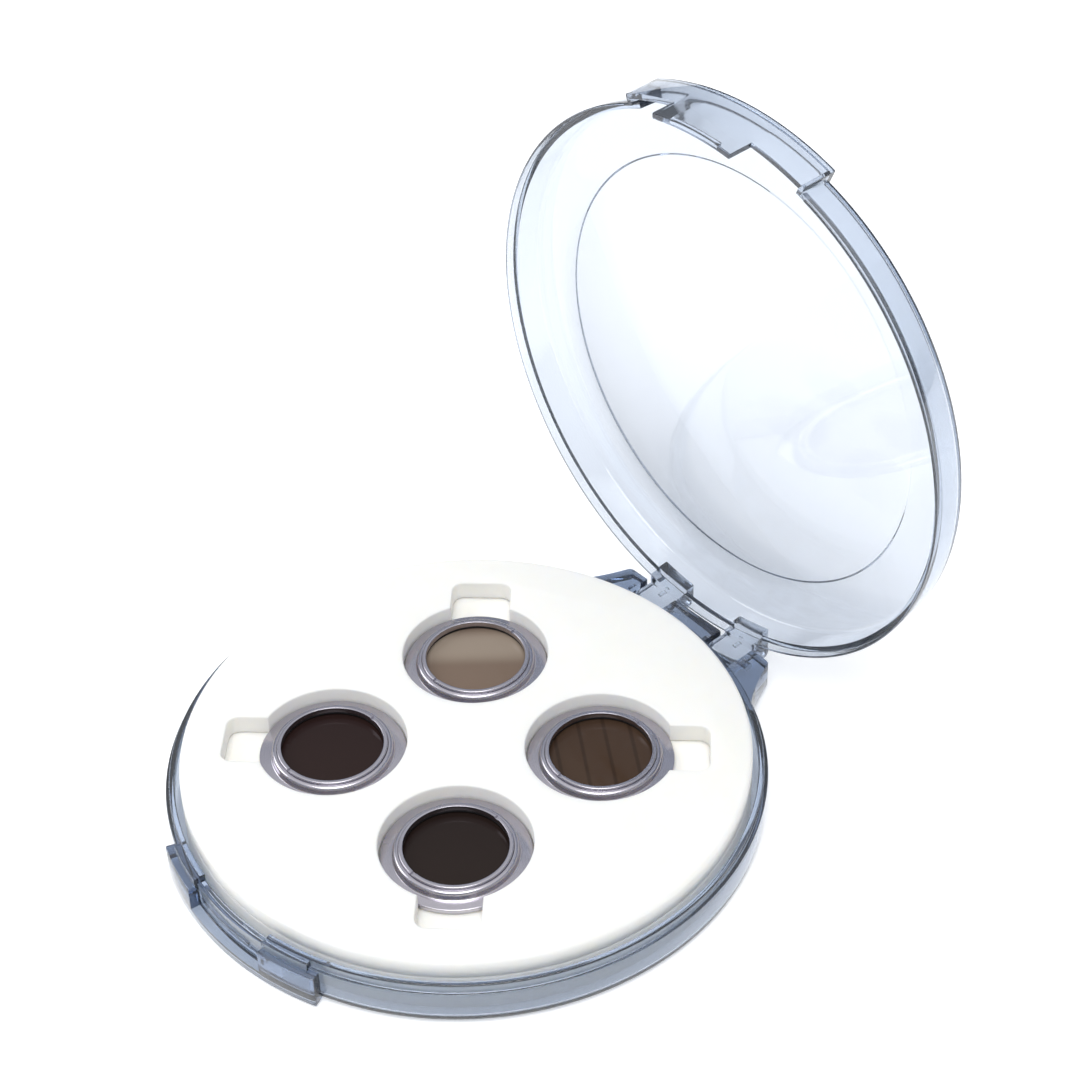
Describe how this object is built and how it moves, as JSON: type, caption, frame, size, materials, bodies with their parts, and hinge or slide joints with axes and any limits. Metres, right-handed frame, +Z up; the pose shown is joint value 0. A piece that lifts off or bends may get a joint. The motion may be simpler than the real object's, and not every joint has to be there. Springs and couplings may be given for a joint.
{
  "type": "trial lens set",
  "caption": "Round clear hinged case with a white foam insert that holds metal-rimmed trial lenses of graded neutral density.",
  "frame": {"origin": "centre of the flat underside of the case base", "axes": "+Z up out of the open case, +Y towards the hinge, -Y towards the latch; the lid is at rest open"},
  "size_m": [0.1548, 0.176, 0.1659],
  "materials": {
    "clear_polystyrene": "clear moulded polystyrene, polished",
    "white_foam": "white closed-cell polyethylene foam, matte",
    "satin_metal": "turned metal rim, satin nickel look",
    "black_gasket": "thin black rubber",
    "filter_back_right": "dark brown neutral filter, polished glass",
    "filter_back_left": "light brown neutral filter, polished glass",
    "filter_front_left": "deep grey neutral filter, polished glass",
    "filter_front_right": "darkest grey neutral filter, polished glass"
  },
  "bodies": {
    "case_base": {"base_shell": "clear_polystyrene", "foam_top_layer": "white_foam", "foam_backing_layer": "white_foam"},
    "lid": {"lid_shell": "clear_polystyrene"},
    "trial_lens_back_right": {"lens_cell_back_right": "satin_metal", "filter_glass_back_right": "filter_back_right", "gasket_back_right": "black_gasket", "retaining_ring_back_right": "satin_metal"},
    "trial_lens_back_left": {"lens_cell_back_left": "satin_metal", "filter_glass_back_left": "filter_back_left", "gasket_back_left": "black_gasket", "retaining_ring_back_left": "satin_metal"},
    "trial_lens_front_left": {"lens_cell_front_left": "satin_metal", "filter_glass_front_left": "filter_front_left", "gasket_front_left": "black_gasket", "retaining_ring_front_left": "satin_metal"},
    "trial_lens_front_right": {"lens_cell_front_right": "satin_metal", "filter_glass_front_right": "filter_front_right", "gasket_front_right": "black_gasket", "retaining_ring_front_right": "satin_metal"}
  },
  "joints": [
    {"name": "lid_hinge", "type": "hinge", "parent": "case_base", "child": "lid", "pos_m": [0, 0.08, 0.006], "axis": [-1, 0, 0], "range_deg": [-90, 0]},
    {"name": "lens_lift_back_right", "type": "slide", "parent": "case_base", "child": "trial_lens_back_right", "axis": [0, 0, 1], "range_m": [0, 0.03]},
    {"name": "lens_lift_back_left", "type": "slide", "parent": "case_base", "child": "trial_lens_back_left", "axis": [0, 0, 1], "range_m": [0, 0.03]},
    {"name": "lens_lift_front_left", "type": "slide", "parent": "case_base", "child": "trial_lens_front_left", "axis": [0, 0, 1], "range_m": [0, 0.03]},
    {"name": "lens_lift_front_right", "type": "slide", "parent": "case_base", "child": "trial_lens_front_right", "axis": [0, 0, 1], "range_m": [0, 0.03]}
  ]
}
